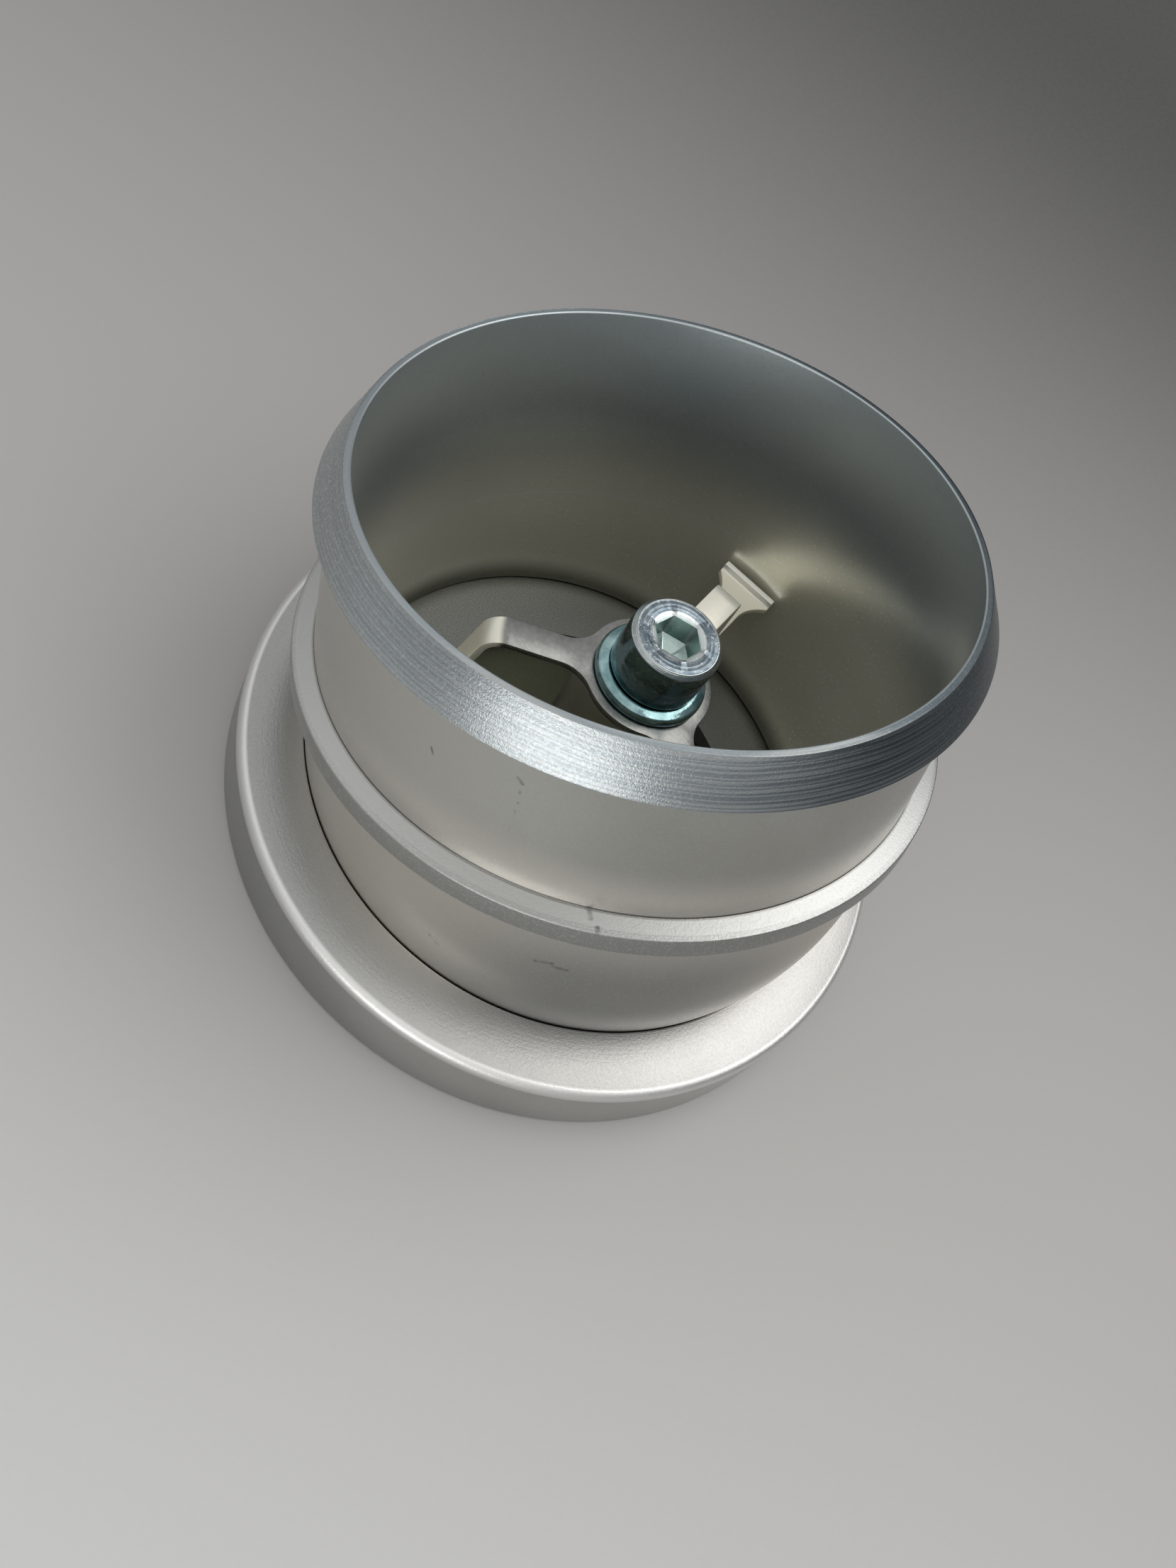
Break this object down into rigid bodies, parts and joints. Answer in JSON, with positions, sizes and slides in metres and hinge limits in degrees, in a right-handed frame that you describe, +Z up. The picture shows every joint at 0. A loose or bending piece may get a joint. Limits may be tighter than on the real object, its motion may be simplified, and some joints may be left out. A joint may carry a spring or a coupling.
{
  "type": "exhaust elbow",
  "caption": "Swivelling tube elbow: a short leaning aluminium tube with hose collar and stop ring, clamped by a spider and a central screw in a round base.",
  "frame": {"origin": "centre of the round base on the plane it stands on, on the screw's axis", "axes": "+Z up along the screw, out of the base; the tube leans towards +X"},
  "size_m": [0.1021, 0.1, 0.0752],
  "materials": {
    "base_flange": "bead-blasted, clear anodised, satin",
    "anchor_plate": "dark, dull",
    "centre_sleeve": "turned, satin",
    "elbow_tube": "bead-blasted, clear anodised, satin, turned collar",
    "clamp_spider": "satin sheet",
    "plain_washer": "blue zinc plated",
    "cap_screw": "blue zinc plated"
  },
  "bodies": {
    "base": {"base_flange": "base_flange", "anchor_plate": "anchor_plate", "centre_sleeve": "centre_sleeve", "clamp_spider": "clamp_spider", "plain_washer": "plain_washer", "cap_screw": "cap_screw"},
    "elbow": {"elbow_tube": "elbow_tube"}
  },
  "joints": [
    {"name": "swivel", "type": "hinge", "parent": "base", "child": "elbow", "pos_m": [0, 0, 0.023], "axis": [0, 0, 1], "continuous": true}
  ]
}
